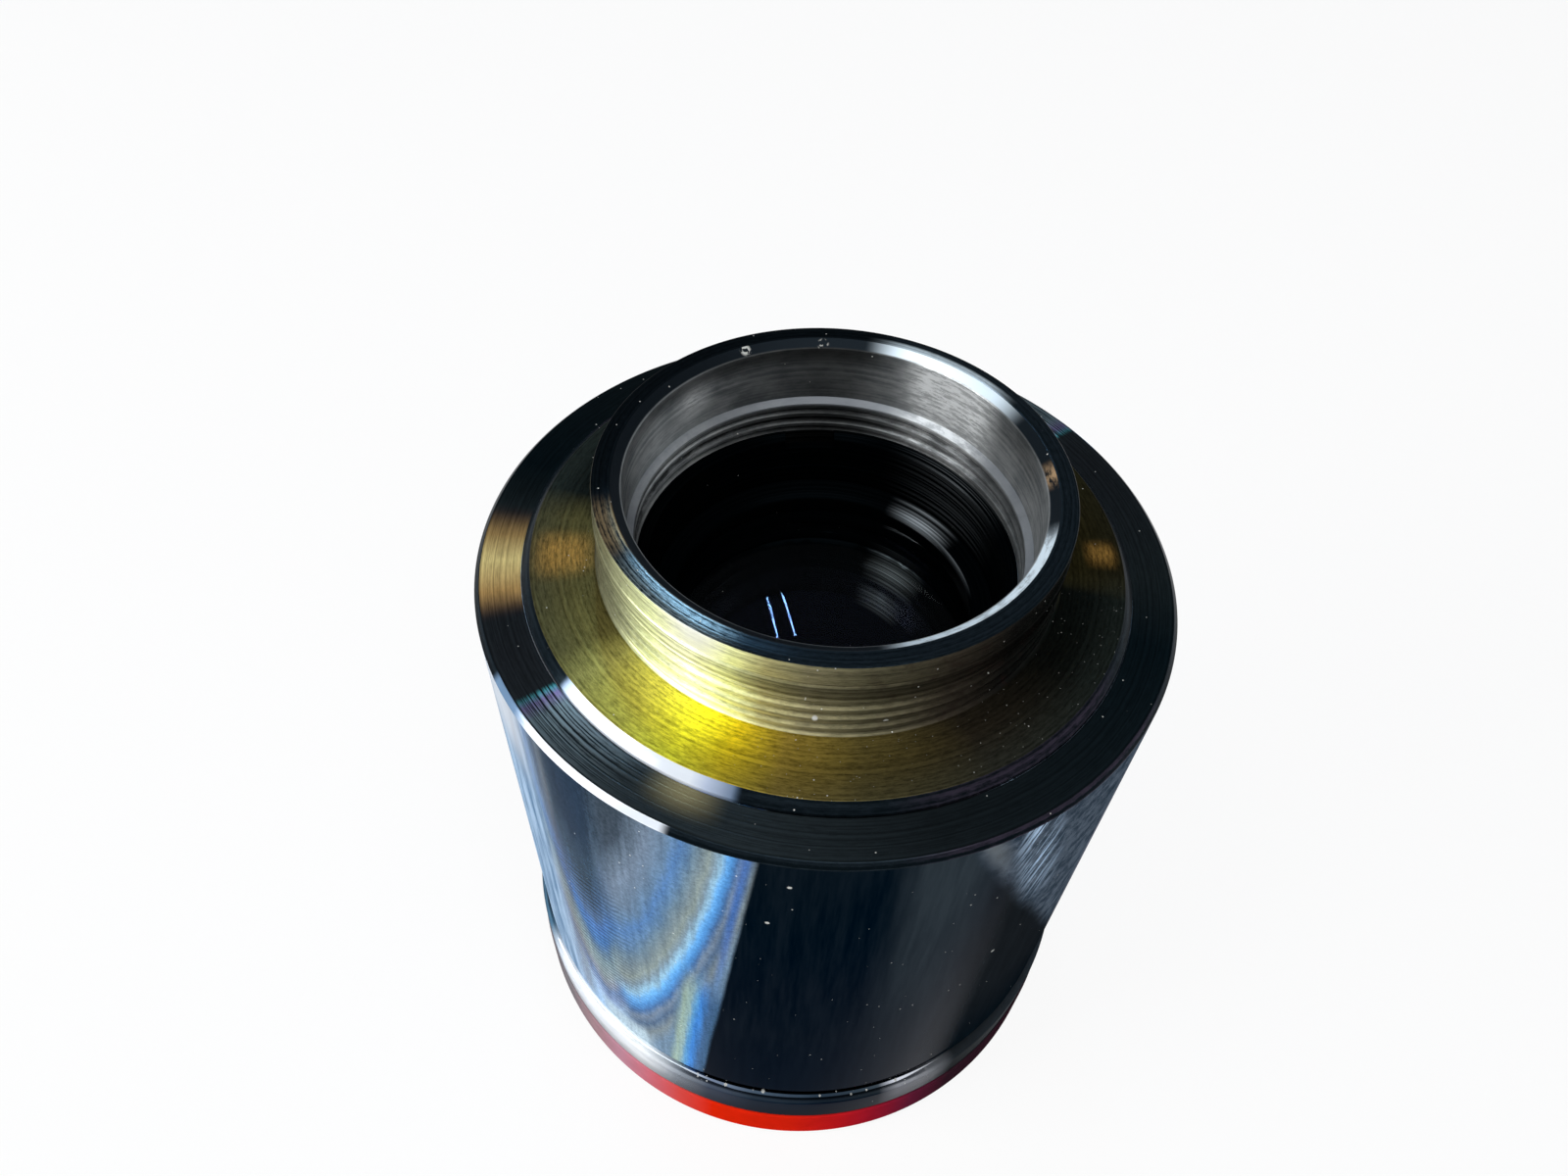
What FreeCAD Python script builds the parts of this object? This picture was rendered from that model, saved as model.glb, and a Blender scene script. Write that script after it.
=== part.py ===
import FreeCAD, Part
import math
import os

# A low-power microscope objective, standing nose down with its mounting thread up.
# The origin is the centre of the mounting face and +Z runs along the optical axis towards the thread.
# Every length is in millimetres. A name ending in _r is a radius, and one ending in _z is a height.

# Gaps between the pieces
slide_gap = 0.02
thread_gap = 0.03

# Mounting neck, with a 25 mm fine thread
thread_r = 12.5
neck_height = 5.1
neck_edge_break = 0.12
neck_wall = 1.6
neck_bore_depth = 3.9
ledge_width = 0.4
rim_chamfer_width = 0.55
rim_chamfer_depth = 0.4
ledge_chamfer_depth = 0.25

# Raised mounting face, inside the shoulder of the sleeve
shoulder_width = 2.5
face_chamfer_width = 0.5
face_chamfer_depth = 0.42
shoulder_drop = 0.6

# Body below the face: a flange inside the sleeve and a long skirt that guides the lens tube
flange_height = 4.4
skirt_wall = 2.5
seat_width = 1.2
seat_height = 1.2

# Outer sleeve
barrel_r = 19.0
sleeve_length = 31.4
sleeve_wall = 1.6
sleeve_top_thickness = 2.0
shoulder_edge_break = 0.27
sleeve_foot_break = 0.2

# Lower collar with the groove above it
groove_height = 0.6
groove_depth = 0.6
collar_proud = 0.4
collar_height = 3.2
collar_top_round = 0.55
collar_foot_round = 0.25
spigot_height = 2.5
spigot_wall = 1.6
web_height = 3.4

# Coloured magnification band
band_proud = 0.1
band_height = 3.2
band_wall = 1.2
band_edge_break = 0.15

# Nose ring
nose_inset = 0.6
nose_lip_height = 0.6
nose_edge_break = 0.3
nose_plate_height = 1.5
nose_cone_width = 2.2

# Lens tube, its lock ring and the shim under it
lock_ring_drop = 2.2
lock_ring_height = 2.4
lock_ring_wall = 0.6
lock_ring_chamfer = 0.35
spanner_slot_width = 3.0
spanner_slot_depth = 1.0
spanner_slot_turn = 100.0
tube_wall = 0.65
tube_lip_width = 0.93
tube_lip_height = 1.2
shim_height = 0.3

# Centring screws in the skirt
centring_screw_count = 3
centring_screw_r = 1.25
centring_screw_depth = 14.0
centring_screw_recess = 0.15
centring_screw_turn = 30.0
socket_flats = 1.3
socket_depth = 1.2

# Rear group: the ring and the cell that hold the rear doublet
rear_ring_drop = 1.2
rear_ring_height = 1.6
rear_ring_cone = 0.5
rear_ring_cover = 0.6
rear_cell_wall = 0.59
cell_lip_width = 0.8
cell_lip_height = 0.8
rear_crown_thickness = 4.0
rear_flint_thickness = 1.3
rear_top_curve = 48.0
rear_cement_curve = -32.0
rear_bottom_curve = -120.0

# Blackened steps and the aperture stop
baffle_height = 4.5
baffle_step_count = 5
baffle_top_inset = 0.1
baffle_foot_r = 4.6
stop_height = 0.8
stop_r = 4.3

# Middle group
middle_cell_wall = 1.79
middle_crown_thickness = 2.8
middle_flint_thickness = 1.1
middle_top_curve = 40.0
middle_cement_curve = -24.0
middle_bottom_curve = 60.0
middle_spacer_wall = 1.4

# Front group
front_cell_wall = 1.59
meniscus_thickness = 2.6
meniscus_bottom_curve = 60.0
meniscus_top_curve = 28.0
front_spacer_width = 1.0
front_spacer_height = 1.8
front_flint_thickness = 1.1
front_flint_curve = -80.0
front_cement_curve = -26.0
front_crown_thickness = 3.0
front_crown_curve = 45.0
front_ring_width = 0.8
front_ring_height = 1.0
front_ring_slot_width = 1.2
front_ring_slot_depth = 0.5

# Radii that follow from the ones above
boss_r = barrel_r - shoulder_width
face_r = boss_r - face_chamfer_width
neck_bore_r = thread_r - neck_wall
guide_bore_r = neck_bore_r - ledge_width
skirt_r = guide_bore_r + skirt_wall
seat_r = guide_bore_r - seat_width
sleeve_bore_r = barrel_r - sleeve_wall
flange_r = sleeve_bore_r - slide_gap
spigot_r = sleeve_bore_r - slide_gap
groove_r = barrel_r - groove_depth
collar_r = barrel_r + collar_proud
band_r = collar_r + band_proud
nose_r = band_r - nose_inset
band_seat_r = band_r - band_wall
nose_opening_r = seat_r + nose_cone_width
tube_r = guide_bore_r - slide_gap
tube_bore_r = tube_r - tube_wall
tube_lip_r = tube_bore_r - tube_lip_width
cell_r = tube_bore_r - slide_gap
rear_lens_r = cell_r - rear_cell_wall - slide_gap
rear_clear_r = rear_lens_r - rear_ring_cover
rear_lip_r = rear_lens_r - cell_lip_width
baffle_top_r = rear_lip_r - baffle_top_inset
middle_lens_r = cell_r - middle_cell_wall - slide_gap
middle_lip_r = middle_lens_r - cell_lip_width
front_lens_r = cell_r - front_cell_wall - slide_gap
front_lip_r = front_lens_r - cell_lip_width
front_spacer_r = front_lens_r - front_spacer_width
front_ring_r = front_lens_r - front_ring_width
skirt_hole_r = skirt_r + thread_gap

# Heights of the outside, from the face down
shoulder_z = -shoulder_drop
flange_top_z = shoulder_z - sleeve_top_thickness
flange_foot_z = flange_top_z - flange_height
sleeve_foot_z = shoulder_z - sleeve_length
collar_top_z = sleeve_foot_z - groove_height
collar_foot_z = collar_top_z - collar_height
band_foot_z = collar_foot_z - band_height
nose_z = band_foot_z - nose_lip_height
body_foot_z = nose_z + nose_plate_height
seat_z = body_foot_z + seat_height

# Heights of the inside
ledge_z = neck_height - neck_bore_depth
lock_top_z = ledge_z - lock_ring_drop
tube_top_z = lock_top_z - lock_ring_height
tube_foot_z = seat_z + shim_height
front_cell_foot_z = tube_foot_z + tube_lip_height


def at(radius, height):
    return FreeCAD.Vector(radius, 0, height)


def turned(start, *steps):
    """A piece turned about the optical axis. A step of two numbers is a straight cut to that radius and
    height, and a step of four is an arc through the first pair to the second."""
    edges = []
    here = at(*start)
    for step in steps + (start,):
        there = at(*step[-2:])
        if len(step) == 4:
            edges.append(Part.Arc(here, at(*step[:2]), there).toShape())
        else:
            edges.append(Part.LineSegment(here, there).toShape())
        here = there
    outline = Part.Face(Part.Wire(edges))
    return outline.revolve(at(0, 0), FreeCAD.Vector(0, 0, 1), 360)


def ring(inner_r, outer_r, foot_z, top_z):
    return turned((inner_r, foot_z), (outer_r, foot_z), (outer_r, top_z), (inner_r, top_z))


def sag(curve, radius):
    """How far a surface has fallen at a radius. A negative curve rises away from its middle."""
    fall = abs(curve) - math.sqrt(curve * curve - radius * radius)
    return math.copysign(fall, curve)


def lens(rim_r, top_z, top_curve, foot_z, foot_curve):
    """A glass element between two spherical surfaces, given by their middle heights and curves."""
    half = rim_r / 2
    return turned(
        (0, foot_z),
        (half, foot_z - sag(foot_curve, half), rim_r, foot_z - sag(foot_curve, rim_r)),
        (rim_r, top_z - sag(top_curve, rim_r)),
        (half, top_z - sag(top_curve, half), 0, top_z),
    )


def rest_on_lip(foot_z, foot_curve, rim_r, lip_r):
    """Height of the lip that carries an element: at its rim if it is hollow below, else at the lip's edge."""
    touch_r = rim_r if foot_curve > 0 else lip_r
    return foot_z - sag(foot_curve, touch_r)


def cell(lens_r, lip_r, foot_z, lip_z, top_z):
    """A ring bored for a group of elements, with a lip below them."""
    bore_r = lens_r + slide_gap
    return turned(
        (lip_r, foot_z), (cell_r, foot_z), (cell_r, top_z), (bore_r, top_z), (bore_r, lip_z), (lip_r, lip_z)
    )


def spanner_slots(width, depth, top_z, turn):
    """A bar across the whole ring, which cuts one slot on each side."""
    bar = Part.makeBox(2 * guide_bore_r, width, depth, FreeCAD.Vector(-guide_bore_r, -width / 2, top_z - depth))
    bar.rotate(at(0, 0), FreeCAD.Vector(0, 0, 1), turn)
    return bar


def mount_body():
    skirt = turned(
        (neck_bore_r + rim_chamfer_width, neck_height),
        (thread_r - neck_edge_break, neck_height),
        (thread_r, neck_height - neck_edge_break),
        (thread_r, 0),
        (face_r, 0),
        (boss_r, -face_chamfer_depth),
        (boss_r, flange_top_z),
        (flange_r, flange_top_z),
        (flange_r, flange_foot_z),
        (skirt_r, flange_foot_z),
        (skirt_r, body_foot_z),
        (seat_r, body_foot_z),
        (seat_r, seat_z),
        (guide_bore_r, seat_z),
        (guide_bore_r, ledge_z - ledge_chamfer_depth),
        (neck_bore_r, ledge_z),
        (neck_bore_r, neck_height - rim_chamfer_depth),
    )
    for turn in centring_turns():
        skirt = skirt.cut(radial_pin(centring_screw_r, guide_bore_r - slide_gap, skirt_r, turn))
    return skirt


def outer_sleeve():
    hole_r = boss_r + slide_gap
    return turned(
        (hole_r, shoulder_z),
        (barrel_r - shoulder_edge_break, shoulder_z),
        (barrel_r, shoulder_z - shoulder_edge_break),
        (barrel_r, sleeve_foot_z + sleeve_foot_break),
        (barrel_r - sleeve_foot_break, sleeve_foot_z),
        (sleeve_bore_r, sleeve_foot_z),
        (sleeve_bore_r, flange_top_z),
        (hole_r, flange_top_z),
    )


def rounded_corner(corner_r, corner_z, round_r, side):
    """The arc step that rounds an outer corner. Side is 1 for a top corner and -1 for a foot corner."""
    inset = round_r * (1 - math.sqrt(0.5))
    via = (corner_r - inset, corner_z - side * inset)
    ends = ((corner_r - round_r, corner_z), (corner_r, corner_z - side * round_r))
    return via, ends


def lower_collar():
    top_via, (top_in, top_out) = rounded_corner(collar_r, collar_top_z, collar_top_round, 1)
    foot_via, (foot_in, foot_out) = rounded_corner(collar_r, collar_foot_z, collar_foot_round, -1)
    spigot_top_z = sleeve_foot_z + spigot_height
    web_top_z = collar_foot_z + web_height
    return turned(
        (spigot_r, spigot_top_z),
        (spigot_r, sleeve_foot_z),
        (groove_r, sleeve_foot_z),
        (groove_r, collar_top_z),
        top_in,
        top_via + top_out,
        foot_out,
        foot_via + foot_in,
        (skirt_hole_r, collar_foot_z),
        (skirt_hole_r, web_top_z),
        (spigot_r - spigot_wall, web_top_z),
        (spigot_r - spigot_wall, spigot_top_z),
    )


def magnification_ring():
    return turned(
        (band_seat_r, collar_foot_z),
        (band_r - band_edge_break, collar_foot_z),
        (band_r, collar_foot_z - band_edge_break),
        (band_r, band_foot_z + band_edge_break),
        (band_r - band_edge_break, band_foot_z),
        (band_seat_r, band_foot_z),
    )


def nose_ring():
    return turned(
        (skirt_hole_r, collar_foot_z),
        (band_seat_r - slide_gap, collar_foot_z),
        (band_seat_r - slide_gap, band_foot_z),
        (nose_r, band_foot_z),
        (nose_r, nose_z + nose_edge_break),
        (nose_r - nose_edge_break, nose_z),
        (nose_opening_r, nose_z),
        (seat_r, body_foot_z),
        (skirt_hole_r, body_foot_z),
    )


def lens_tube():
    return turned(
        (tube_bore_r, tube_top_z),
        (tube_r, tube_top_z),
        (tube_r, tube_foot_z),
        (tube_lip_r, tube_foot_z),
        (tube_lip_r, front_cell_foot_z),
        (tube_bore_r, front_cell_foot_z),
    )


def parfocal_lock_ring():
    outer_r = guide_bore_r - thread_gap
    bore_r = outer_r - lock_ring_wall
    blank = turned(
        (bore_r, tube_top_z),
        (outer_r, tube_top_z),
        (outer_r, lock_top_z),
        (bore_r + lock_ring_chamfer, lock_top_z),
        (bore_r, lock_top_z - lock_ring_chamfer),
    )
    return blank.cut(spanner_slots(spanner_slot_width, spanner_slot_depth, lock_top_z, spanner_slot_turn))


def radial_pin(radius, near_r, far_r, turn):
    """A round bar that lies across the wall of the skirt at the height of the centring screws."""
    start = FreeCAD.Vector(near_r, 0, -centring_screw_depth)
    pin = Part.makeCylinder(radius, far_r - near_r, start, FreeCAD.Vector(1, 0, 0))
    pin.rotate(at(0, 0), FreeCAD.Vector(0, 0, 1), turn)
    return pin


def centring_turns():
    return [centring_screw_turn + 360 / centring_screw_count * n for n in range(centring_screw_count)]


def centring_screws():
    """Grub screws with hexagon sockets. Their flat tips bear on the lens tube."""
    screws = []
    far_r = skirt_r - centring_screw_recess
    for turn in centring_turns():
        screw = radial_pin(centring_screw_r - thread_gap, tube_r, far_r, turn)
        screws.append(screw.cut(socket(far_r, turn)))
    return Part.makeCompound(screws)


def socket(far_r, turn):
    corner = socket_flats / math.sqrt(3)
    points = []
    for n in range(7):
        angle = math.radians(60 * n)
        across = corner * math.cos(angle)
        up = corner * math.sin(angle) - centring_screw_depth
        points.append(FreeCAD.Vector(far_r - socket_depth, across, up))
    bit = Part.Face(Part.makePolygon(points)).extrude(FreeCAD.Vector(socket_depth, 0, 0))
    bit.rotate(at(0, 0), FreeCAD.Vector(0, 0, 1), turn)
    return bit


def rear_group():
    """The rear doublet in its cell, under a ring that screws into the lens tube."""
    ring_top_z = tube_top_z - rear_ring_drop
    ring_foot_z = ring_top_z - rear_ring_height
    ring_outer_r = tube_bore_r - thread_gap
    retaining_ring = turned(
        (rear_clear_r, ring_foot_z),
        (ring_outer_r, ring_foot_z),
        (ring_outer_r, ring_top_z),
        (rear_clear_r, ring_top_z - rear_ring_cone),
    )
    crown_top_z = ring_foot_z + sag(rear_top_curve, rear_clear_r)
    cement_z = crown_top_z - rear_crown_thickness
    flint_foot_z = cement_z - rear_flint_thickness
    lip_z = rest_on_lip(flint_foot_z, rear_bottom_curve, rear_lens_r, rear_lip_r)
    cell_foot_z = lip_z - cell_lip_height
    pieces = {
        "rear_retaining_ring": retaining_ring,
        "rear_crown_lens": lens(rear_lens_r, crown_top_z, rear_top_curve, cement_z, rear_cement_curve),
        "rear_flint_lens": lens(rear_lens_r, cement_z, rear_cement_curve, flint_foot_z, rear_bottom_curve),
        "rear_lens_cell": cell(rear_lens_r, rear_lip_r, cell_foot_z, lip_z, ring_foot_z),
    }
    return pieces, cell_foot_z


def stepped_baffle(top_z):
    """A blackened spacer whose bore narrows in even steps, to swallow stray light."""
    foot_z = top_z - baffle_height
    step_height = baffle_height / baffle_step_count
    step_width = (baffle_top_r - baffle_foot_r) / (baffle_step_count - 1)
    outline = [(cell_r, foot_z), (cell_r, top_z)]
    for n in range(baffle_step_count):
        radius = baffle_top_r - step_width * n
        outline.append((radius, top_z - step_height * n))
        outline.append((radius, top_z - step_height * (n + 1)))
    return turned(*outline), foot_z


def middle_group(top_z):
    """The aperture stop, and the middle doublet that bears against it."""
    stop_foot_z = top_z - stop_height
    crown_top_z = stop_foot_z + sag(middle_top_curve, stop_r)
    cement_z = crown_top_z - middle_crown_thickness
    flint_foot_z = cement_z - middle_flint_thickness
    lip_z = rest_on_lip(flint_foot_z, middle_bottom_curve, middle_lens_r, middle_lip_r)
    cell_foot_z = lip_z - cell_lip_height
    crown = lens(middle_lens_r, crown_top_z, middle_top_curve, cement_z, middle_cement_curve)
    flint = lens(middle_lens_r, cement_z, middle_cement_curve, flint_foot_z, middle_bottom_curve)
    pieces = {
        "aperture_stop": ring(stop_r, cell_r, stop_foot_z, top_z),
        "middle_lens_cell": cell(middle_lens_r, middle_lip_r, cell_foot_z, lip_z, stop_foot_z),
        "middle_crown_lens": crown,
        "middle_flint_lens": flint,
    }
    return pieces, cell_foot_z


def front_group():
    """The front meniscus and doublet in one cell, which stands on the lip of the lens tube."""
    lip_z = front_cell_foot_z + cell_lip_height
    meniscus_foot_z = lip_z + sag(meniscus_bottom_curve, front_lens_r)
    meniscus_top_z = meniscus_foot_z + meniscus_thickness
    spacer_foot_z = meniscus_top_z - sag(meniscus_top_curve, front_spacer_r)
    spacer_top_z = spacer_foot_z + front_spacer_height
    flint_foot_z = spacer_top_z + sag(front_flint_curve, front_spacer_r)
    cement_z = flint_foot_z + front_flint_thickness
    crown_top_z = cement_z + front_crown_thickness
    ring_foot_z = crown_top_z - sag(front_crown_curve, front_ring_r)
    cell_top_z = ring_foot_z + front_ring_height
    meniscus = lens(front_lens_r, meniscus_top_z, meniscus_top_curve, meniscus_foot_z, meniscus_bottom_curve)
    flint = lens(front_lens_r, cement_z, front_cement_curve, flint_foot_z, front_flint_curve)
    crown = lens(front_lens_r, crown_top_z, front_crown_curve, cement_z, front_cement_curve)
    retainer = ring(front_ring_r, front_lens_r + slide_gap - thread_gap, ring_foot_z, cell_top_z)
    retainer = retainer.cut(spanner_slots(front_ring_slot_width, front_ring_slot_depth, cell_top_z, 0))
    pieces = {
        "front_group_cell": cell(front_lens_r, front_lip_r, front_cell_foot_z, lip_z, cell_top_z),
        "front_meniscus_lens": meniscus,
        "front_element_spacer": ring(front_spacer_r, front_lens_r, spacer_foot_z, spacer_top_z),
        "front_flint_lens": flint,
        "front_crown_lens": crown,
        "front_retaining_ring": retainer,
    }
    return pieces, cell_top_z


def objective():
    pieces = {
        "mount_body": mount_body(),
        "outer_sleeve": outer_sleeve(),
        "lower_collar": lower_collar(),
        "magnification_ring": magnification_ring(),
        "nose_ring": nose_ring(),
        "lens_tube": lens_tube(),
        "parfocal_lock_ring": parfocal_lock_ring(),
        "parfocal_shim": ring(seat_r, tube_r, seat_z, tube_foot_z),
        "centring_screws": centring_screws(),
    }
    rear_pieces, rear_foot_z = rear_group()
    baffle, baffle_foot_z = stepped_baffle(rear_foot_z)
    middle_pieces, middle_foot_z = middle_group(baffle_foot_z)
    front_pieces, front_top_z = front_group()
    pieces.update(rear_pieces)
    pieces["stepped_baffle"] = baffle
    pieces.update(middle_pieces)
    pieces["middle_spacer"] = ring(cell_r - middle_spacer_wall, cell_r, front_top_z, middle_foot_z)
    pieces.update(front_pieces)
    return pieces


def main():
    os.makedirs("parts", exist_ok=True)
    for node, shape in objective().items():
        shape.exportStep(f"parts/{node}.step")


main()
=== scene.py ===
import math

import bmesh
import bpy
from mathutils import Matrix, Vector


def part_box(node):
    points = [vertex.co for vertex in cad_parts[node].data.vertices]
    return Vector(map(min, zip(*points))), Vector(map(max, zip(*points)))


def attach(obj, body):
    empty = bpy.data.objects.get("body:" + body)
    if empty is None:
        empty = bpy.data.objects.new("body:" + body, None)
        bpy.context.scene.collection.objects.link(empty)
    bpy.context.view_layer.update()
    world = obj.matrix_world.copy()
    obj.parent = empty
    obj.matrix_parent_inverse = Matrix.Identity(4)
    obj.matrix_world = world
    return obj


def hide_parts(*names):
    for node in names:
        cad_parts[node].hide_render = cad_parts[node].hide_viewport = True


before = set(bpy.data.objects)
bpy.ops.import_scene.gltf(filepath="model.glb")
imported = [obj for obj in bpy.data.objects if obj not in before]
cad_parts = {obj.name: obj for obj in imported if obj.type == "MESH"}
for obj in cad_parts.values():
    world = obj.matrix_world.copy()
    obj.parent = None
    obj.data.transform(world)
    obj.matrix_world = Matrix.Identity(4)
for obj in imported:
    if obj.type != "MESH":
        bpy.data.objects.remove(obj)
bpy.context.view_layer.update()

# A microscope objective, nose down. Lengths here are millimetres, and MM turns them into metres where a mesh
# is made. The origin is the centre of the mounting face and +Z runs towards the thread. A name ending in _r
# is a radius and one ending in _z is a height. An outline is a list of (radius, height) or (radius, height,
# cut-back of the rounded corner). A turn is an angle about +Z in degrees: 180 at the left, 270 in front.
MM = 0.001
AROUND = 256
LENS_AROUND = 192
LENS_STEPS = 24
ROUND_STEPS = 5
MERGE_DISTANCE = 0.0002
SMOOTH_ANGLE = math.radians(42)
FACING_UP = 0.98
PAINT_MARGIN = 0.02
DUST_COLOUR = (0.6, 0.6, 0.56)
FILM_INDEX = 1.38
BLACK_CHROME = {"Specular Tint": (0.41, 0.41, 0.42, 1)}
TUBE_DISTANCE = 395
TUBE_WIDTH = 2.0
TUBE_BRIGHTNESS = 110.0
TUBE_COLOUR = (0.45, 0.72, 1.0)


def foot_of(node):
    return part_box(node)[0][2] / MM


def top_of(node):
    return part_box(node)[1][2] / MM


def radius_of(node):
    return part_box(node)[1][0] / MM


# Sizes that the frame gives
neck_top_z = top_of("mount_body")
body_foot_z = foot_of("mount_body")
flange_r = radius_of("mount_body")
shoulder_z = top_of("outer_sleeve")
sleeve_foot_z = foot_of("outer_sleeve")
barrel_r = radius_of("outer_sleeve")
spigot_top_z = top_of("lower_collar")
collar_foot_z = foot_of("lower_collar")
collar_r = radius_of("lower_collar")
band_foot_z = foot_of("magnification_ring")
band_r = radius_of("magnification_ring")
nose_z = foot_of("nose_ring")
nose_r = radius_of("nose_ring")
lock_top_z = top_of("parfocal_lock_ring")
tube_top_z = top_of("lens_tube")
tube_foot_z = foot_of("lens_tube")
tube_r = radius_of("lens_tube")

# Sizes of the visible forms, as turned
slide_gap = 0.02
thread_gap = 0.03
thread_r = 12.5
thread_root_r = 12.2
thread_pitch = 0.75
thread_crest_width = 0.3
thread_turns = 4
thread_start_z = -0.3
thread_crest_r = thread_r - 0.045
ridge_root = 0.08
bore_thread_turns = 3
bore_thread_start = 0.6
bore_thread_root = 0.05
land_r = thread_r - 0.03
land_top_slope = 0.06
land_foot_slope = 0.15
land_foot_z = 2.55
land_top_z = 3.68
lead_in_r = 12.4
score_depth = 0.09
fillet_height = 0.42
fillet_width = 0.34
neck_bore_r = 10.9
rim_chamfer_width = 0.55
rim_r = neck_bore_r + rim_chamfer_width
rim_chamfer_depth = 0.4
ledge_z = 1.2
ledge_chamfer_depth = 0.25
guide_bore_r = 10.5
inner_thread_r = 10.8
inner_land_z = 0.58
boss_r = 16.5
face_chamfer_width = 0.5
face_chamfer_depth = 0.42
flange_top_z = shoulder_z - 2.0
flange_foot_z = flange_top_z - 4.4
skirt_r = 13.0
skirt_hole_r = skirt_r + thread_gap
seat_r = 9.3
seat_z = -36.9
sleeve_bore_r = 17.4
shoulder_edge = 0.27
sleeve_foot_edge = 0.2
groove_r = 18.4
collar_top_z = sleeve_foot_z - 0.6
collar_top_round = 0.55
collar_foot_round = 0.25
spigot_wall = 1.6
web_top_z = collar_foot_z + 3.4
band_seat_r = band_r - 1.2
band_edge = 0.15
nose_edge = 0.3
nose_opening_r = 11.5
lock_bore_r = 9.87
lock_chamfer = 0.35
spanner_slot_width = 3.0
spanner_slot_depth = 1.0
spanner_slot_turn = 100
tube_bore_r = tube_r - 0.65
tube_lip_r = 8.9
tube_lip_z = -35.4
rear_clear_r = 8.6
rear_cone_depth = 0.5
rear_lens_r = 9.2
rear_crown_thickness = 4.0
rear_flint_thickness = 1.3
rear_top_curve = 48.0
rear_cement_curve = -32.0
rear_bottom_curve = -120.0
cement_gap = 0.01


def pick(piece):
    bpy.ops.object.select_all(action="DESELECT")
    bpy.context.view_layer.objects.active = piece
    piece.select_set(True)


def join_corners():
    bpy.ops.mesh.select_all(action="SELECT")
    bpy.ops.mesh.remove_doubles(threshold=MERGE_DISTANCE * MM)


def face_outwards():
    """Turns every face outwards and leaves edit mode."""
    bpy.ops.mesh.select_all(action="SELECT")
    bpy.ops.mesh.normals_make_consistent(inside=False)
    bpy.ops.object.mode_set(mode="OBJECT")


def select_near(piece, places, reach=0.002):
    """Selects the vertices of a piece in edit mode that lie at one of the places."""
    bpy.ops.mesh.select_mode(type="VERT")
    bpy.ops.mesh.select_all(action="DESELECT")
    shape = bmesh.from_edit_mesh(piece.data)
    for vertex in shape.verts:
        vertex.select = any((vertex.co - place).length < reach * MM for place in places)
    shape.select_flush_mode()
    bmesh.update_edit_mesh(piece.data)


def draw_outline(name, outline):
    """Extrudes one vertex from corner to corner in the plane of X and Z, and rounds the corners. An outline
    whose ends are both on the axis stays open there. The piece is left in edit mode."""
    corners = [Vector((point[0], 0, point[1])) * MM for point in outline]
    bpy.ops.object.select_all(action="DESELECT")
    bpy.ops.mesh.primitive_plane_add(size=MM, location=corners[0])
    piece = bpy.context.object
    piece.name = name
    bpy.ops.object.transform_apply(location=True, rotation=False, scale=False)
    bpy.ops.object.mode_set(mode="EDIT")
    bpy.ops.mesh.select_all(action="SELECT")
    bpy.ops.mesh.merge(type="CENTER")
    open_at_axis = outline[0][0] == 0 and outline[-1][0] == 0
    ends = corners[1:] if open_at_axis else corners[1:] + corners[:1]
    for here, there in zip(corners, ends):
        bpy.ops.mesh.extrude_region_move(TRANSFORM_OT_translate={"value": there - here})
    join_corners()
    for cut in sorted({point[2] for point in outline if len(point) == 3}):
        select_near(piece, [corner for corner, point in zip(corners, outline) if point[2:] == (cut,)])
        bpy.ops.mesh.bevel(offset=cut * MM, segments=ROUND_STEPS, affect="VERTICES")
    return piece


def turn(name, outline, around=AROUND):
    """A turned piece: its outline spun about the optical axis."""
    piece = draw_outline(name, outline)
    bpy.ops.mesh.select_all(action="SELECT")
    bpy.ops.mesh.spin(steps=around, angle=math.tau, center=(0, 0, 0), axis=(0, 0, 1))
    join_corners()
    face_outwards()
    return piece


def wind(name, outline, pitch, turns):
    """A thread's ridge: its section wound up a helix about the optical axis, with both ends closed."""
    piece = draw_outline(name, outline)
    bpy.ops.object.mode_set(mode="OBJECT")
    bpy.ops.object.modifier_add(type="SCREW")
    screw = piece.modifiers[-1]
    screw.screw_offset = pitch * MM
    screw.iterations = turns
    screw.steps = AROUND // 2
    screw.render_steps = AROUND // 2
    bpy.ops.object.modifier_apply(modifier=screw.name)
    bpy.ops.object.mode_set(mode="EDIT")
    bpy.ops.mesh.select_all(action="SELECT")
    bpy.ops.mesh.fill_holes(sides=0)
    face_outwards()
    return piece


def cut_away(piece, tool):
    """Takes the tool's shape out of the piece and deletes the tool."""
    pick(piece)
    bpy.ops.object.modifier_add(type="BOOLEAN")
    cut = piece.modifiers[-1]
    cut.operation = "DIFFERENCE"
    cut.solver = "EXACT"
    cut.object = tool
    bpy.ops.object.modifier_apply(modifier=cut.name)
    bpy.data.objects.remove(tool)


def smooth(piece):
    """Smooth shading that keeps the flats flat beside their rounded edges."""
    pick(piece)
    bpy.ops.object.shade_smooth_by_angle(angle=SMOOTH_ANGLE)
    bpy.ops.object.modifier_add(type="WEIGHTED_NORMAL")
    weighted = piece.modifiers[-1]
    weighted.keep_sharp = True
    bpy.ops.object.modifier_apply(modifier=weighted.name)


def place(piece, slot, *nodes):
    """Fixes a finished piece to the objective, in place of the named nodes. The slot is not used."""
    smooth(piece)
    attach(piece, "root")
    if nodes:
        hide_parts(*nodes)


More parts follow.
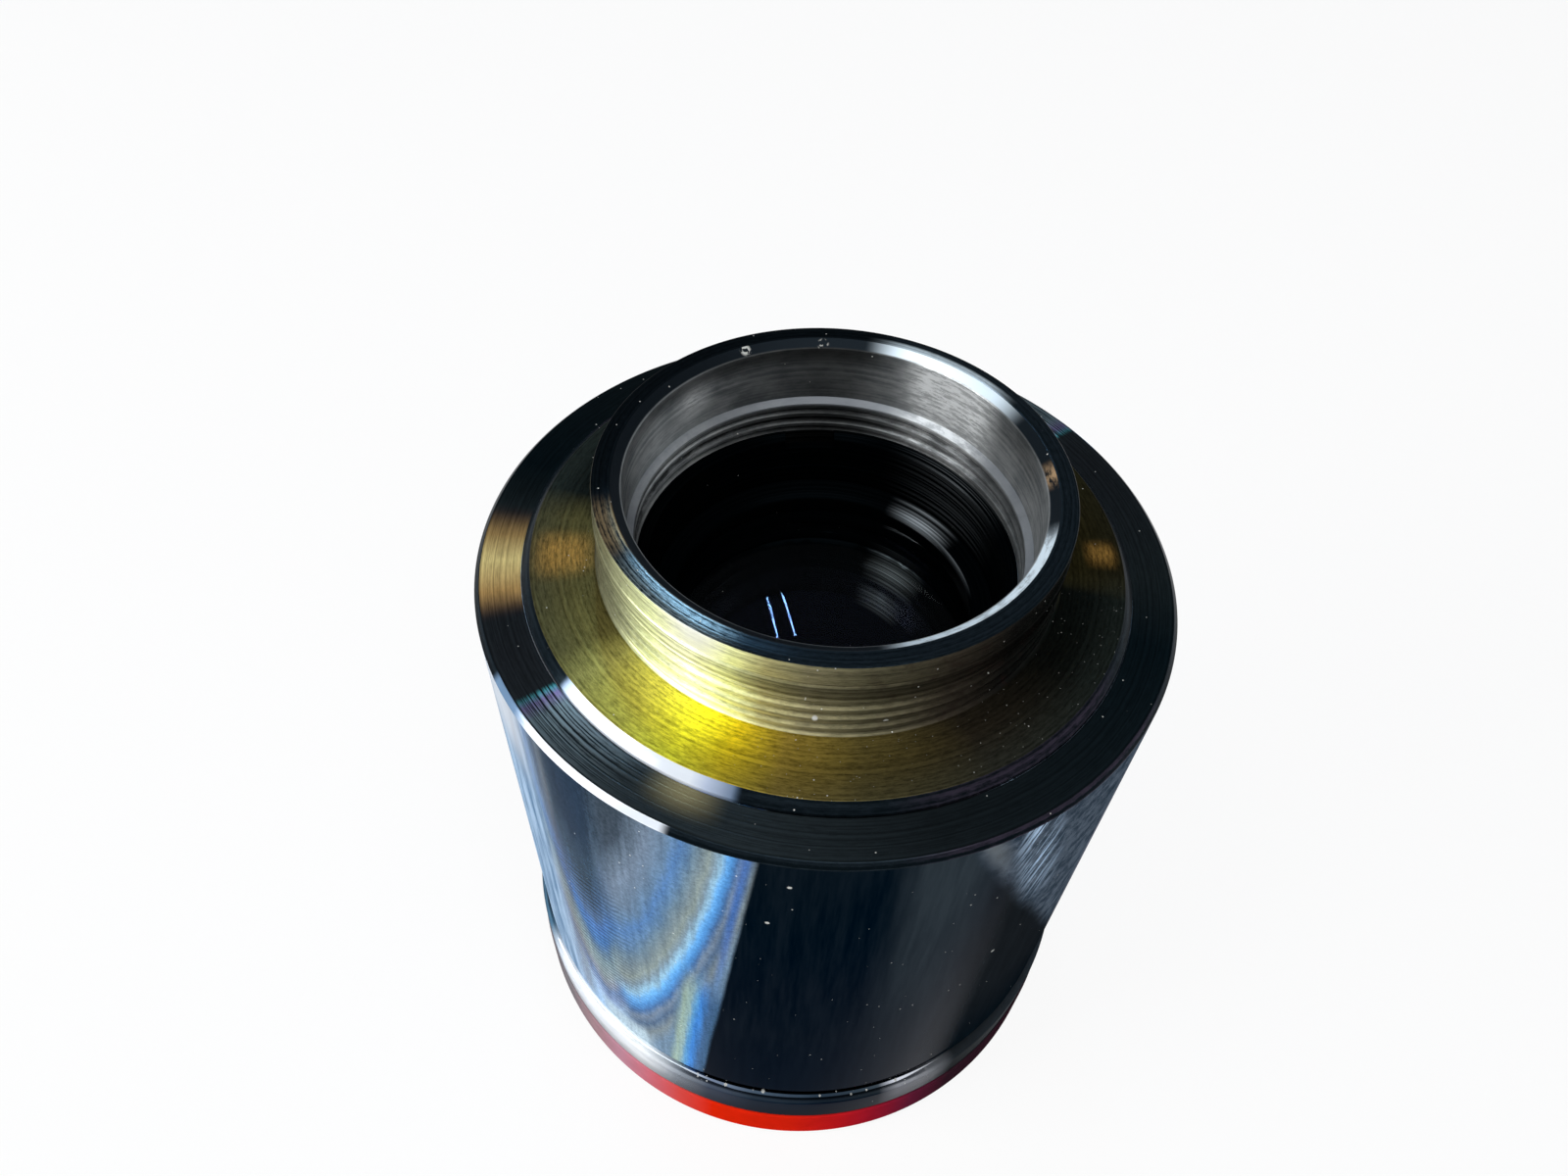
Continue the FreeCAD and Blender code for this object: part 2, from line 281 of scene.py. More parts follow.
class Wire:
    """The output of a material node. Sums written with wires add Math nodes."""

    def __init__(self, finish, socket):
        self.finish = finish
        self.socket = socket

    def math(self, operation, *others):
        return self.finish.node("Math", {"operation": operation}, dict(enumerate((self,) + others)))

    def __add__(self, other):
        return self.math("ADD", other)

    def __sub__(self, other):
        return self.math("SUBTRACT", other)

    def __mul__(self, other):
        return self.math("MULTIPLY", other)

    def __truediv__(self, other):
        return self.math("DIVIDE", other)

    def __rsub__(self, other):
        return self.finish.node("Math", {"operation": "SUBTRACT"}, {0: other, 1: self})

    def __pow__(self, other):
        return self.math("POWER", other)

    __radd__ = __add__
    __rmul__ = __mul__

    def fade(self, start, end):
        """0 at the start and 1 at the end, eased between them."""
        limits = {"Value": self, "From Min": start, "From Max": end}
        return self.finish.node("MapRange", {"interpolation_type": "SMOOTHSTEP"}, limits)

    def between(self, start, end, soft):
        """1 between two values, with edges that are soft wide."""
        return self.fade(start - soft / 2, start + soft / 2) * self.fade(end + soft / 2, end - soft / 2)

    def near(self, middle, width):
        """1 at a value, falling softly to 0 at that distance on each side."""
        return (self - middle).math("ABSOLUTE").fade(width, 0)

    def capped(self):
        """At most 1."""
        return self.math("MINIMUM", 1.0)


class Finish:
    """A material under construction. Its lengths are millimetres, and turn is the angle about the optical
    axis from 90 at the back through 270 at the front to 450. Half turn repeats from 180 to 360, front and
    back."""

    def __init__(self, name):
        self.material = bpy.data.materials.new(name)
        self.material.use_nodes = True
        self.tree = self.material.node_tree
        self.tree.nodes.clear()
        metres = self.node("TexCoord", {}, {}, "Object")
        self.place = self.node("VectorMath", {"operation": "SCALE"}, {0: metres, "Scale": 1 / MM})
        x, y, self.z = (self.node("SeparateXYZ", {}, {"Vector": self.place}, axis) for axis in "XYZ")
        self.radius = (x * x + y * y).math("SQRT")
        self.turn = x.math("ARCTAN2", 0 - y).math("DEGREES") + 270
        self.half_turn = self.turn.math("FLOORED_MODULO", 180.0) + 180

    def node(self, kind, settings, values, output=0):
        """Adds a node. Its settings are set first, then the values or wires of its sockets."""
        node = self.tree.nodes.new("ShaderNode" + kind)
        for name, value in settings.items():
            if name == "stops":
                self.set_stops(node.color_ramp, value)
            else:
                setattr(node, name, value)
        for name, value in values.items():
            if isinstance(value, Wire):
                self.tree.links.new(value.socket, node.inputs[name])
            else:
                node.inputs[name].default_value = value
        return Wire(self, node.outputs[output]) if node.outputs else None

    def set_stops(self, ramp, stops):
        while len(ramp.elements) < len(stops):
            ramp.elements.new(0.5)
        for element, (position, colour) in zip(ramp.elements, stops):
            element.position = position
            element.color = (*colour, 1)

    def along(self, wire, *stops):
        """A colour that changes with a wire. Each stop is a value of the wire and its colour."""
        start, end = stops[0][0], stops[-1][0]
        scaled = [((value - start) / (end - start), colour) for value, colour in stops]
        factor = (wire - start) / (end - start)
        return self.node("ValToRGB", {"stops": scaled}, {"Fac": factor})

    def mix(self, factor, first, second):
        """A colour between two, each a wire or three numbers."""
        first, second = (colour if isinstance(colour, Wire) else (*colour, 1) for colour in (first, second))
        return self.node("Mix", {"data_type": "RGBA"}, {"Factor": factor, 6: first, 7: second}, 2)

    def scaled(self, colour, factor):
        """A colour made lighter or darker by a wire or a number."""
        return self.node("VectorMath", {"operation": "SCALE"}, {0: colour, "Scale": factor})

    def lifted(self, colour, amount):
        """A colour with three numbers added."""
        return self.node("VectorMath", {"operation": "ADD"}, {0: colour, 1: amount})

    def noise(self, scale, detail=2.0, roughness=0.5, at=None):
        values = {"Vector": at or self.place, "Scale": scale, "Detail": detail, "Roughness": roughness}
        return self.node("TexNoise", {}, values)

    def rings(self, along, scale, detail=3.0):
        """Turning marks: noise that changes along one length only."""
        values = {"W": along, "Scale": scale, "Detail": detail}
        return self.node("TexNoise", {"noise_dimensions": "1D"}, values)

    def wound(self, across, lengthwise):
        """Coordinates for grain that runs round a piece, with the scale along the turn."""
        angle = self.turn * (math.pi / 180)
        side, other = angle.math("COSINE") * lengthwise, angle.math("SINE") * lengthwise
        return self.node("CombineXYZ", {}, {"X": side, "Y": other, "Z": across})

    def specks(self, scale, size, share):
        """Scattered dust: small dots in a share of the cells of a random pattern."""
        values = {"Vector": self.place, "Scale": scale}
        distance = self.node("TexVoronoi", {}, values, "Distance")
        cell = self.node("TexVoronoi", {}, values, "Color")
        chance = self.node("SeparateColor", {}, {"Color": cell}, "Red")
        return distance.fade(size, size * 0.6) * chance.fade(1 - share, 1 - share + 0.01)

    def spot(self, size, *places):
        """1 on a small spot at each place."""
        total = 0
        for place in places:
            distance = self.node("VectorMath", {"operation": "DISTANCE"}, {0: self.place, 1: place}, "Value")
            total = total + distance.fade(size, size * 0.5)
        return total

    def bump(self, height, depth):
        return self.node("Bump", {}, {"Height": height, "Distance": depth * MM, "Strength": 1.0})

    def surface(self, settings):
        shader = self.node("BsdfPrincipled", {}, settings)
        self.node("OutputMaterial", {}, {"Surface": shader})
        return self.material

    def metal(self, colour, roughness, shine, dust, settings):
        """A metal surface under matt, pale dust. Shine is the share of the metal that mirrors."""
        dust = dust.capped()
        return self.surface({
            "Base Color": self.mix(dust, colour, DUST_COLOUR),
            "Metallic": (1 - dust) * shine,
            "Roughness": dust * 0.5 + roughness,
            "Specular IOR Level": 0.0,
            **settings,
        })


def gold_face():
    """Turned brass of the mounting face: painted olive and yellow highlights, greyer at the outer edge, and
    painted shade.
    """
    finish = Finish("gold_face")
    turn, half_turn = finish.turn, finish.half_turn
    marks = finish.rings(finish.radius, 5.0, 6.0)
    grain = finish.noise(2.6, 6.0, 0.8, finish.wound(finish.radius * 3.2, 11.0))
    scratches = finish.noise(1.1, 4.0, 0.7, finish.wound(finish.radius * 9.0, 26.0)).fade(0.56, 0.72)
    # Painted highlight: the yellow flare of the lamps in the turning marks, front and back, dark towards the
    # right.
    painted_highlight = finish.along(
        half_turn, (180, (0.07, 0.058, 0.02)), (200, (0.08, 0.066, 0.022)), (216, (0.115, 0.1, 0.03)),
        (223, (0.33, 0.3, 0.08)), (235, (0.55, 0.49, 0.07)), (246, (0.82, 0.76, 0.03)),
        (255, (0.56, 0.42, 0.012)), (265, (0.22, 0.155, 0.025)), (280, (0.085, 0.065, 0.018)),
        (303, (0.02, 0.016, 0.01)), (330, (0.005, 0.006, 0.005)), (352, (0.005, 0.007, 0.006)),
        (360, (0.07, 0.058, 0.02)))
    outer = finish.radius.fade(13.6, 16.0)
    colour = finish.mix(outer, painted_highlight, finish.lifted(finish.scaled(painted_highlight, 0.62), (0.01, 0.013, 0.011)))
    # Painted highlight, a little stronger on the inner part of the face in front.
    inner = finish.radius.fade(14.2, 13.0) * half_turn.between(222, 292, 20)
    # Painted shade towards the right and the back right.
    colour = finish.scaled(colour, inner * 0.25 + 1 - turn.between(356, 402, 8) * 0.7)
    # Painted orange glints of a warm lamp, at the left and a small one at the right.
    painted_orange_glint = turn.between(186, 196, 7) * finish.radius.between(12.9, 15.5, 1.6)
    painted_orange_glint = painted_orange_glint + turn.near(364, 5) * finish.radius.between(14.2, 15.6, 0.8)
    colour = finish.mix(painted_orange_glint * (grain.fade(0.3, 0.6) * 0.5 + 0.35), colour, (0.34, 0.18, 0.04))
    dark = (marks * 0.6 + grain * 1.4).fade(0.62, 1.3)
    colour = finish.scaled(colour, dark * 1.1 + 0.45)
    colour = finish.mix(scratches * 0.35, colour, (0.02, 0.014, 0.004))
    dust = finish.specks(3.0, 0.12, 0.1) + finish.specks(7.5, 0.15, 0.1) * turn.between(255, 350, 25)
    normal = finish.bump(marks * 0.6 + grain * 0.6, 0.012)
    return finish.metal(colour, 0.28, 0.35, dust, {"Normal": normal})


def brass_side():
    """The neck's outside: pale olive brass with a painted white highlight, and painted shade in blotches
    towards one side.
    """
    finish = Finish("brass_side")
    half_turn = finish.half_turn
    marks = finish.rings(finish.z, 5.0, 6.0)
    grain = finish.noise(2.2, 5.0, 0.75, finish.wound(finish.z * 5.0, 9.0))
    # Painted highlight: the lamps' white flare on the neck, front and back, dark towards the right.
    painted_highlight = finish.along(
        half_turn, (180, (0.045, 0.04, 0.022)), (196, (0.085, 0.08, 0.046)), (212, (0.19, 0.19, 0.11)),
        (220, (0.4, 0.41, 0.23)), (230, (0.78, 0.82, 0.44)), (241, (1.0, 1.0, 0.7)),
        (251, (0.84, 0.86, 0.42)), (259, (0.38, 0.35, 0.16)), (268, (0.2, 0.18, 0.1)),
        (282, (0.088, 0.08, 0.047)), (300, (0.038, 0.031, 0.022)), (316, (0.008, 0.008, 0.007)),
        (344, (0.004, 0.006, 0.005)), (360, (0.045, 0.04, 0.022)))
    tone = (marks * 0.9 + grain * 1.1).fade(0.55, 1.35) * 1.25 + 0.42
    # Painted shade: a darker band on the land towards the shaded side.
    band = finish.z.between(2.75, 3.75, 0.4) * half_turn.fade(236, 262) * 0.5
    colour = finish.scaled(painted_highlight, tone * (1 - band))
    # Painted highlight: a white glint along the neck's top edge, at the front left and back right.
    crown = finish.z.fade(3.6, 3.9) * half_turn.near(243, 10)
    colour = finish.mix(crown * 0.8, colour, (1.0, 1.0, 0.95))
    # Painted shade in blotches on the dark side, front and back.
    painted_blotchy_shade = finish.noise(0.8, 4.0, 0.7).fade(0.5, 0.7) * half_turn.between(282, 330, 20)
    colour = finish.mix(painted_blotchy_shade * 0.5, colour, (0.022, 0.012, 0.01))
    dust = finish.specks(2.6, 0.12, 0.12) + finish.spot(0.17, (0.1, -12.4, 1.15), (3.4, -11.95, 0.9))
    normal = finish.bump(marks * 0.6 + grain * 0.5, 0.012)
    return finish.metal(colour, 0.25, 0.3, dust, {"Normal": normal})


def blued_edge():
    """The dark bevels of the mount and the sleeve's top edge. One long stretch of them has a painted white
    highlight, and the rim has painted glints, reflections and shade.
    """
    finish = Finish("blued_edge")
    turn, half_turn = finish.turn, finish.half_turn
    marks = finish.rings(finish.radius, 7.0, 5.0)
    grain = finish.noise(3.0, 5.0, 0.75, finish.wound(finish.radius * 3.0, 9.0))
    tone = (grain * 0.5 + marks * 0.5).fade(0.38, 0.62)
    colour = finish.mix(tone, (0.005, 0.009, 0.012), (0.015, 0.023, 0.03))
    sleeve_edge = finish.radius.fade(18.2, 18.6)
    outside = finish.radius.fade(15.9, 16.05)
    # Painted highlight: a long white stretch on the bevels, front left and back right.
    painted_white_mask = (half_turn + sleeve_edge * 8).between(222, 259, 2) * outside
    painted_white = finish.along(
        half_turn, (221, (0.16, 0.26, 0.4)), (223.5, (0.5, 0.6, 0.76)), (225, (0.84, 0.88, 0.94)),
        (251, (0.82, 0.87, 0.94)), (254, (0.5, 0.58, 0.74)), (259, (0.12, 0.18, 0.28)))
    colour = finish.mix(painted_white_mask, colour, painted_white)
    # Painted reflection in mauve on the bevels, front right and back left.
    painted_mauve_reflection = half_turn.between(289, 332, 14) * outside
    colour = finish.mix(painted_mauve_reflection * tone * 0.6, colour, (0.075, 0.055, 0.085))
    rim = finish.z.fade(4.5, 4.9)
    # Painted reflections on the rim: grey at the front left, brown at the left.
    painted_rim_reflections = tone * rim
    colour = finish.mix(painted_rim_reflections * turn.between(218, 248, 14), colour, (0.2, 0.25, 0.26))
    colour = finish.mix(painted_rim_reflections * turn.between(198, 214, 8), colour, (0.24, 0.17, 0.09))
    # Painted highlight: a pale blue glint on the rim's inner part at the back right.
    painted_glint = turn.between(402, 438, 14) * rim * finish.radius.fade(11.95, 11.7) * (tone * 0.4 + 0.6)
    colour = finish.mix(painted_glint, colour, (0.8, 0.93, 1.0))
    # Painted shade on the rim at the back and the left.
    painted_shade = turn.fade(432, 442) + turn.fade(204, 190)
    colour = finish.scaled(colour, 1 - painted_shade * rim * 0.75)
    dust = finish.specks(2.4, 0.11, 0.12)
    normal = finish.bump(marks, 0.005)
    return finish.metal(colour, 0.16, 0.5 - painted_white_mask * 0.35 - painted_shade * rim * 0.35, dust, {"Normal": normal})


def bare_bore():
    """Bare turned metal inside the neck, matt, with painted light on brushed stretches, painted shade and
    painted glints on the rim.
    """
    finish = Finish("bare_bore")
    turn = finish.turn
    marks = finish.rings(finish.z, 4.5, 6.0)
    brushed = finish.noise(2.0, 5.0, 0.75, finish.wound(finish.z * 2.2, 4.0))
    mottle = finish.noise(0.7, 4.0, 0.7, finish.wound(finish.z * 1.5, 6.0))
    # Painted light: bright brushed patches on the wall at the back right and the back left.
    light = turn.near(415, 25).fade(0.05, 0.75) * finish.z.fade(0.8, 4.2).fade(-0.8, 0.7)
    light = light + turn.near(141, 10) * finish.z.near(3.2, 1.9)
    light = (light * (brushed.fade(0.4, 0.58) * 0.65 + 0.4)).capped()
    # Painted shade at the back, and near the top of the wall.
    painted_shade = turn.fade(432, 450) + turn.fade(126, 96)
    top = finish.z.fade(3.2, 4.4) * (turn.fade(430, 446) + turn.fade(200, 150)) * 0.7
    dull = finish.mix((mottle + marks * 0.5).fade(0.5, 1.0), (0.11, 0.12, 0.125), (0.25, 0.26, 0.26))
    # Painted light on the left side, painted shade at the top on the right.
    painted_light_left = turn.near(155, 34) * 2.0
    painted_shade_right_top = turn.near(384, 22) * finish.z.fade(2.2, 4.0) * 0.55
    dull = finish.scaled(dull, (painted_light_left + 1) * (1 - painted_shade * 0.62) * (1 - painted_shade_right_top))
    lip = finish.z.between(0.86, 1.22, 0.04)
    dull = finish.mix(lip * 0.5, dull, (0.26, 0.28, 0.31))
    colour = finish.mix(light, dull, (0.98, 1.0, 1.0))
    colour = finish.scaled(colour, 1 - top)
    below = finish.z.fade(0.9, 0.7)
    threads = (finish.z * 14.0).math("SINE").fade(-0.2, 0.5)
    lines = ((marks * 0.8 + brushed * 0.2).fade(0.53, 0.45) * 0.55 + threads * 0.6).capped()
    colour = finish.scaled(colour, 1 - below * (lines * 0.85 + painted_shade * 0.1))
    # Painted shade, darker down the bore below its thread.
    colour = finish.scaled(colour, finish.z.fade(-1.2, -0.9) * 0.9 + 0.1)
    chips = finish.spot(0.4, (-5.75, 9.65, 5.0), (-1.4, 10.95, 4.95))
    chips = chips * finish.noise(4.0, 4.0).fade(0.5, 0.56)
    rim = finish.radius.fade(10.93, 11.0) * finish.z.fade(4.3, 4.6)
    # Painted highlights on the rim's inner edge at the back right and front right, and a warm glint at the
    # right.
    painted_glint = turn.between(396, 438, 14) + turn.between(288, 346, 10) * (brushed.fade(0.38, 0.55) * 0.5 + 0.45)
    rim_colour = finish.mix(painted_glint.capped(), (0.01, 0.014, 0.018), (0.8, 0.92, 1.0))
    painted_warm_glint = turn.near(368, 6) * brushed.fade(0.38, 0.55)
    rim_colour = finish.mix(painted_warm_glint * 0.8, rim_colour, (0.55, 0.36, 0.2))
    colour = finish.mix(rim, colour, rim_colour)
    normal = finish.bump(marks * 0.6 + brushed, 0.012)
    dust = finish.specks(2.0, 0.1, 0.08) + chips
    return finish.metal(colour, 0.34, 0.3, dust, {"Normal": normal})


def chrome_shoulder():
    """The sleeve's top: satin black over turning marks, with a painted gold highlight, a painted reflection
    in a fan of split colours, and painted shade at the back.
    """
    finish = Finish("chrome_shoulder")
    turn, half_turn = finish.turn, finish.half_turn
    marks = finish.rings(finish.radius, 6.5, 6.0)
    grain = finish.noise(2.6, 5.0, 0.75, finish.wound(finish.radius * 3.0, 7.0))
    tone = (marks * 0.6 + grain * 0.4).fade(0.38, 0.62)
    # Black, painted a little lighter in front and darker towards the right.
    black = finish.along(
        half_turn, (180, (0.014, 0.02, 0.022)), (210, (0.014, 0.017, 0.02)), (262, (0.022, 0.03, 0.034)),
        (290, (0.01, 0.014, 0.016)), (345, (0.004, 0.009, 0.012)), (360, (0.014, 0.02, 0.022)))
    colour = finish.scaled(black, tone * 0.6 + 0.7)
    # Painted highlight in gold at the left.
    painted_gold_colour = finish.along(
        turn, (178, (0.09, 0.05, 0.035)), (184, (0.4, 0.26, 0.1)), (190, (0.9, 0.72, 0.3)),
        (197, (0.54, 0.33, 0.12)), (203, (0.08, 0.045, 0.04)))
    painted_gold_glint = finish.scaled(painted_gold_colour, tone * 0.55 + 0.6)
    colour = finish.mix(turn.fade(176, 184) * turn.fade(204, 197), colour, painted_gold_glint)
    # Painted reflection: a fan of split colours in the turning marks, front left and back right.
    painted_fan = finish.along(
        half_turn + marks * 2.0, (220, (0.03, 0.12, 0.13)), (221.5, (0.12, 0.62, 0.72)),
        (223, (0.36, 0.3, 0.66)), (225.5, (0.34, 0.48, 0.56)), (231, (0.24, 0.32, 0.37)),
        (248, (0.07, 0.085, 0.085)))
    rings = (marks * 0.75 + grain * 0.25).fade(0.44, 0.56)
    inner = finish.radius.fade(18.6, 16.6) * 0.65 + 0.35
    painted_fan_mask = half_turn.fade(219.5, 221) * half_turn.fade(249, 229) * rings * inner
    colour = finish.mix(painted_fan_mask, colour, painted_fan)
    # Painted reflection in olive, in front.
    painted_olive_reflection = half_turn.near(251, 8) * finish.radius.fade(18.4, 16.8)
    colour = finish.mix(painted_olive_reflection, colour, (0.25, 0.21, 0.11))
    # Painted shade at the back.
    painted_back_shade = turn.between(96, 176, 10)
    colour = finish.scaled(colour, 1 - painted_back_shade * 0.5)
    dust = finish.specks(2.4, 0.11, 0.12)
    normal = finish.bump(marks, 0.006)
    return finish.metal(colour, 0.14, 0.4 - painted_back_shade * 0.34, dust, {"Normal": normal})


def chrome_barrel():
    """Polished black chrome with painted reflections: nested blue and olive fringes, front and back, pale
    and cloudy stretches at the sides, and painted shade.
    """
    finish = Finish("chrome_barrel")
    half_turn = finish.half_turn
    depth = (0 - finish.z).math("MAXIMUM", 0.0)
    warp = finish.noise(0.25, 3.0) * 0.12 - 0.06
    streak = finish.noise(1.3, 4.0, 0.7, finish.wound(depth * 0.12, 32.0))
    shift = warp + streak * 0.1 - 0.05
    # Painted reflections: nested fringes about two middles in front, one right and one left, front and back.
    right = (half_turn - 239.6).math("ABSOLUTE") / 18.6
    right = right ** 1.49 + (depth / 21.6) ** 1.26 + shift
    right = finish.along(
        right, (0.1, (0.048, 0.065, 0.085)), (0.18, (0.055, 0.075, 0.1)), (0.28, (0.12, 0.16, 0.21)),
        (0.36, (0.16, 0.21, 0.28)), (0.48, (0.14, 0.2, 0.28)), (0.58, (0.12, 0.2, 0.31)),
        (0.67, (0.09, 0.19, 0.38)), (0.76, (0.11, 0.2, 0.33)), (0.84, (0.14, 0.21, 0.27)),
        (0.93, (0.17, 0.22, 0.24)), (1.0, (0.22, 0.27, 0.26)), (1.07, (0.18, 0.25, 0.3)),
        (1.14, (0.26, 0.45, 0.6)), (1.2, (0.14, 0.38, 0.74)), (1.26, (0.08, 0.25, 0.55)),
        (1.33, (0.06, 0.14, 0.3)), (1.4, (0.15, 0.2, 0.27)), (1.48, (0.08, 0.13, 0.21)),
        (1.58, (0.17, 0.21, 0.23)), (1.72, (0.13, 0.2, 0.28)), (2.2, (0.16, 0.24, 0.32)))
    left = (half_turn - 233.6).math("ABSOLUTE") / 15.0
    left = left ** 1.64 + (depth / 26.4) ** 1.68 + shift
    left = finish.along(
        left, (0.1, (0.024, 0.042, 0.07)), (0.25, (0.04, 0.07, 0.105)), (0.38, (0.055, 0.1, 0.18)),
        (0.47, (0.08, 0.15, 0.28)), (0.54, (0.07, 0.18, 0.44)), (0.63, (0.06, 0.18, 0.42)),
        (0.7, (0.12, 0.21, 0.31)), (0.78, (0.22, 0.32, 0.36)), (0.9, (0.25, 0.32, 0.34)),
        (0.99, (0.24, 0.28, 0.35)), (1.06, (0.14, 0.22, 0.38)), (1.14, (0.2, 0.29, 0.48)),
        (1.25, (0.3, 0.44, 0.64)), (1.4, (0.26, 0.4, 0.6)), (1.9, (0.34, 0.5, 0.72)))
    painted_fringes = finish.mix(half_turn.fade(235.5, 241), left, right)
    sway = finish.noise(0.4, 2.0) * 0.8
    ribs = ((depth + half_turn * 0.1 + sway) * 13.0).math("SINE")
    ribbed = half_turn.fade(247, 236) * depth.between(11, 29, 6) * half_turn.fade(216, 222)
    painted_fringes = finish.scaled(painted_fringes, 1.1 - ribbed * ribs.fade(-0.5, 0.8) * 0.55)
    # Painted reflections: a pale glow of the bead at the foot, and lines and borders of the fringes.
    glow = half_turn.between(232, 244, 4) * depth.fade(28.6, 30.5)
    painted_fringes = finish.mix(glow * 0.9, painted_fringes, (0.42, 0.54, 0.62))
    line = half_turn.near(227, 1.6) * depth.fade(11, 4)
    painted_fringes = finish.mix(line * 0.6, painted_fringes, (0.28, 0.35, 0.42))
    limit = 265.2 - depth * 0.29 - half_turn + warp * 5
    hue_line = limit.near(1.9, 1.2) * depth.fade(20, 9)
    painted_fringes = finish.mix(hue_line * 0.7, painted_fringes, (0.05, 0.14, 0.42))
    border = finish.along(
        limit + streak * 2 - 1, (0, (0.05, 0.1, 0.17)), (2.2, (0.05, 0.11, 0.22)),
        (3.7, (0.05, 0.2, 0.54)), (4.7, (0.1, 0.28, 0.5)), (5.6, (0.24, 0.36, 0.36)),
        (6.6, (0.28, 0.38, 0.32)), (8.0, (0.12, 0.19, 0.26)))
    painted_fringes = finish.mix(depth.fade(14, 20) * limit.fade(9.0, 7.0), painted_fringes, border)
    grit = finish.noise(4.5, 3.0, 0.8, finish.wound(depth * 1.0, 19.0)).fade(0.25, 0.75)
    painted_fringes = finish.scaled(painted_fringes, (grit * 0.55 + 0.72) * (streak.fade(0.3, 0.7) * 0.3 + 0.85))
    painted_fringes = finish.scaled(painted_fringes, depth * 0.016 + 1.2)
    # Black, darker towards the foot: painted shade; with a soft painted reflection at the right.
    black = finish.along(
        depth, (0, (0.0145, 0.019, 0.0235)), (8, (0.017, 0.022, 0.027)), (15, (0.0192, 0.024, 0.0292)),
        (22, (0.018, 0.0235, 0.029)), (26, (0.0125, 0.018, 0.024)), (31, (0.0053, 0.0113, 0.0177)))
    soft = half_turn.between(286, 299, 9) * depth.fade(34, 4)
    black = finish.mix(soft * 0.75, black, (0.055, 0.07, 0.08))
    black = finish.scaled(black, streak.fade(0.3, 0.75) * 0.3 + 0.88)
    painted_fringe_mask = limit.fade(0, 0.9)
    colour = finish.mix(painted_fringe_mask, black, painted_fringes)
    # Painted reflections: pale at the left and right edges, milky near the top at the left.
    pale = finish.noise(1.2, 5.0, 0.7, finish.wound(depth * 0.09, 20.0)).fade(0.3, 0.7)
    painted_pale_reflection = finish.mix(pale, (0.1, 0.19, 0.32), (0.42, 0.56, 0.72))
    painted_milky_reflection = depth.fade(9, 2) * half_turn.between(207, 222, 8)
    painted_pale_reflection = finish.mix(painted_milky_reflection * 0.8, painted_pale_reflection, (0.62, 0.64, 0.67))
    painted_pale_mask = half_turn.fade(228, 221) + half_turn.fade(341, 359)
    # Painted soft reflection, cloudy, on the right, with light-blue scuffs and dimmer lower down.
    reach = (half_turn - 293) * 0.64 - depth + warp * 20
    painted_soft_mask = reach.fade(-1.0, 1.6) * half_turn.fade(290, 295)
    mottle = finish.noise(1.1, 6.0, 0.75)
    painted_soft_reflection = finish.mix(mottle.fade(0.35, 0.65), (0.03, 0.045, 0.065), (0.11, 0.14, 0.18))
    painted_soft_reflection = finish.mix(reach.near(1.8, 2.4) * half_turn.fade(304, 297) * 0.8, painted_soft_reflection, (0.16, 0.18, 0.19))
    scuffs = finish.noise(1.8, 5.0, 0.8, finish.wound(depth * 0.5 + half_turn * 0.55, 5.0)).fade(0.5, 0.6)
    scuffed = (half_turn - depth * 0.8 - 304).near(0, 6) * depth.fade(12, 5)
    painted_soft_reflection = finish.mix(scuffs * scuffed, painted_soft_reflection, (0.45, 0.6, 0.78))
    dim = depth.fade(14, 28) * 0.75 + half_turn.fade(334, 342) * depth.fade(12, 8) * 0.75
    painted_soft_reflection = finish.scaled(painted_soft_reflection, 1.15 - dim.capped())
    colour = finish.mix(painted_soft_mask, colour, painted_soft_reflection)
    # Painted reflection: a grey band at the right.
    band = half_turn.near(331, 4.5) * depth.near(13, 12)
    colour = finish.mix(band * 0.8, colour, (0.36, 0.36, 0.43))
    # Satin on the right, its colour darkened there: painted shade.
    satin_and_painted_shade = half_turn.fade(296, 308)
    colour = finish.scaled(colour, 1 - satin_and_painted_shade * (1 - painted_soft_mask) * (1 - band) * 0.35)
    colour = finish.mix(painted_pale_mask, colour, painted_pale_reflection)
    shine = (1 - painted_pale_mask - satin_and_painted_shade).math("MAXIMUM", 0.0)
    shine = shine * (1 - painted_fringe_mask * half_turn.fade(226, 230) * 0.5)
    dust = finish.specks(1.5, 0.08, 0.14) + finish.specks(2.7, 0.08, 0.06)
    dust = dust + finish.spot(0.15, (11.3, -15.27, -15.5), (-0.3, -19.0, -2.8), (-1.2, -18.96, -6.8))
    return finish.metal(colour, 0.05, shine, dust, BLACK_CHROME)


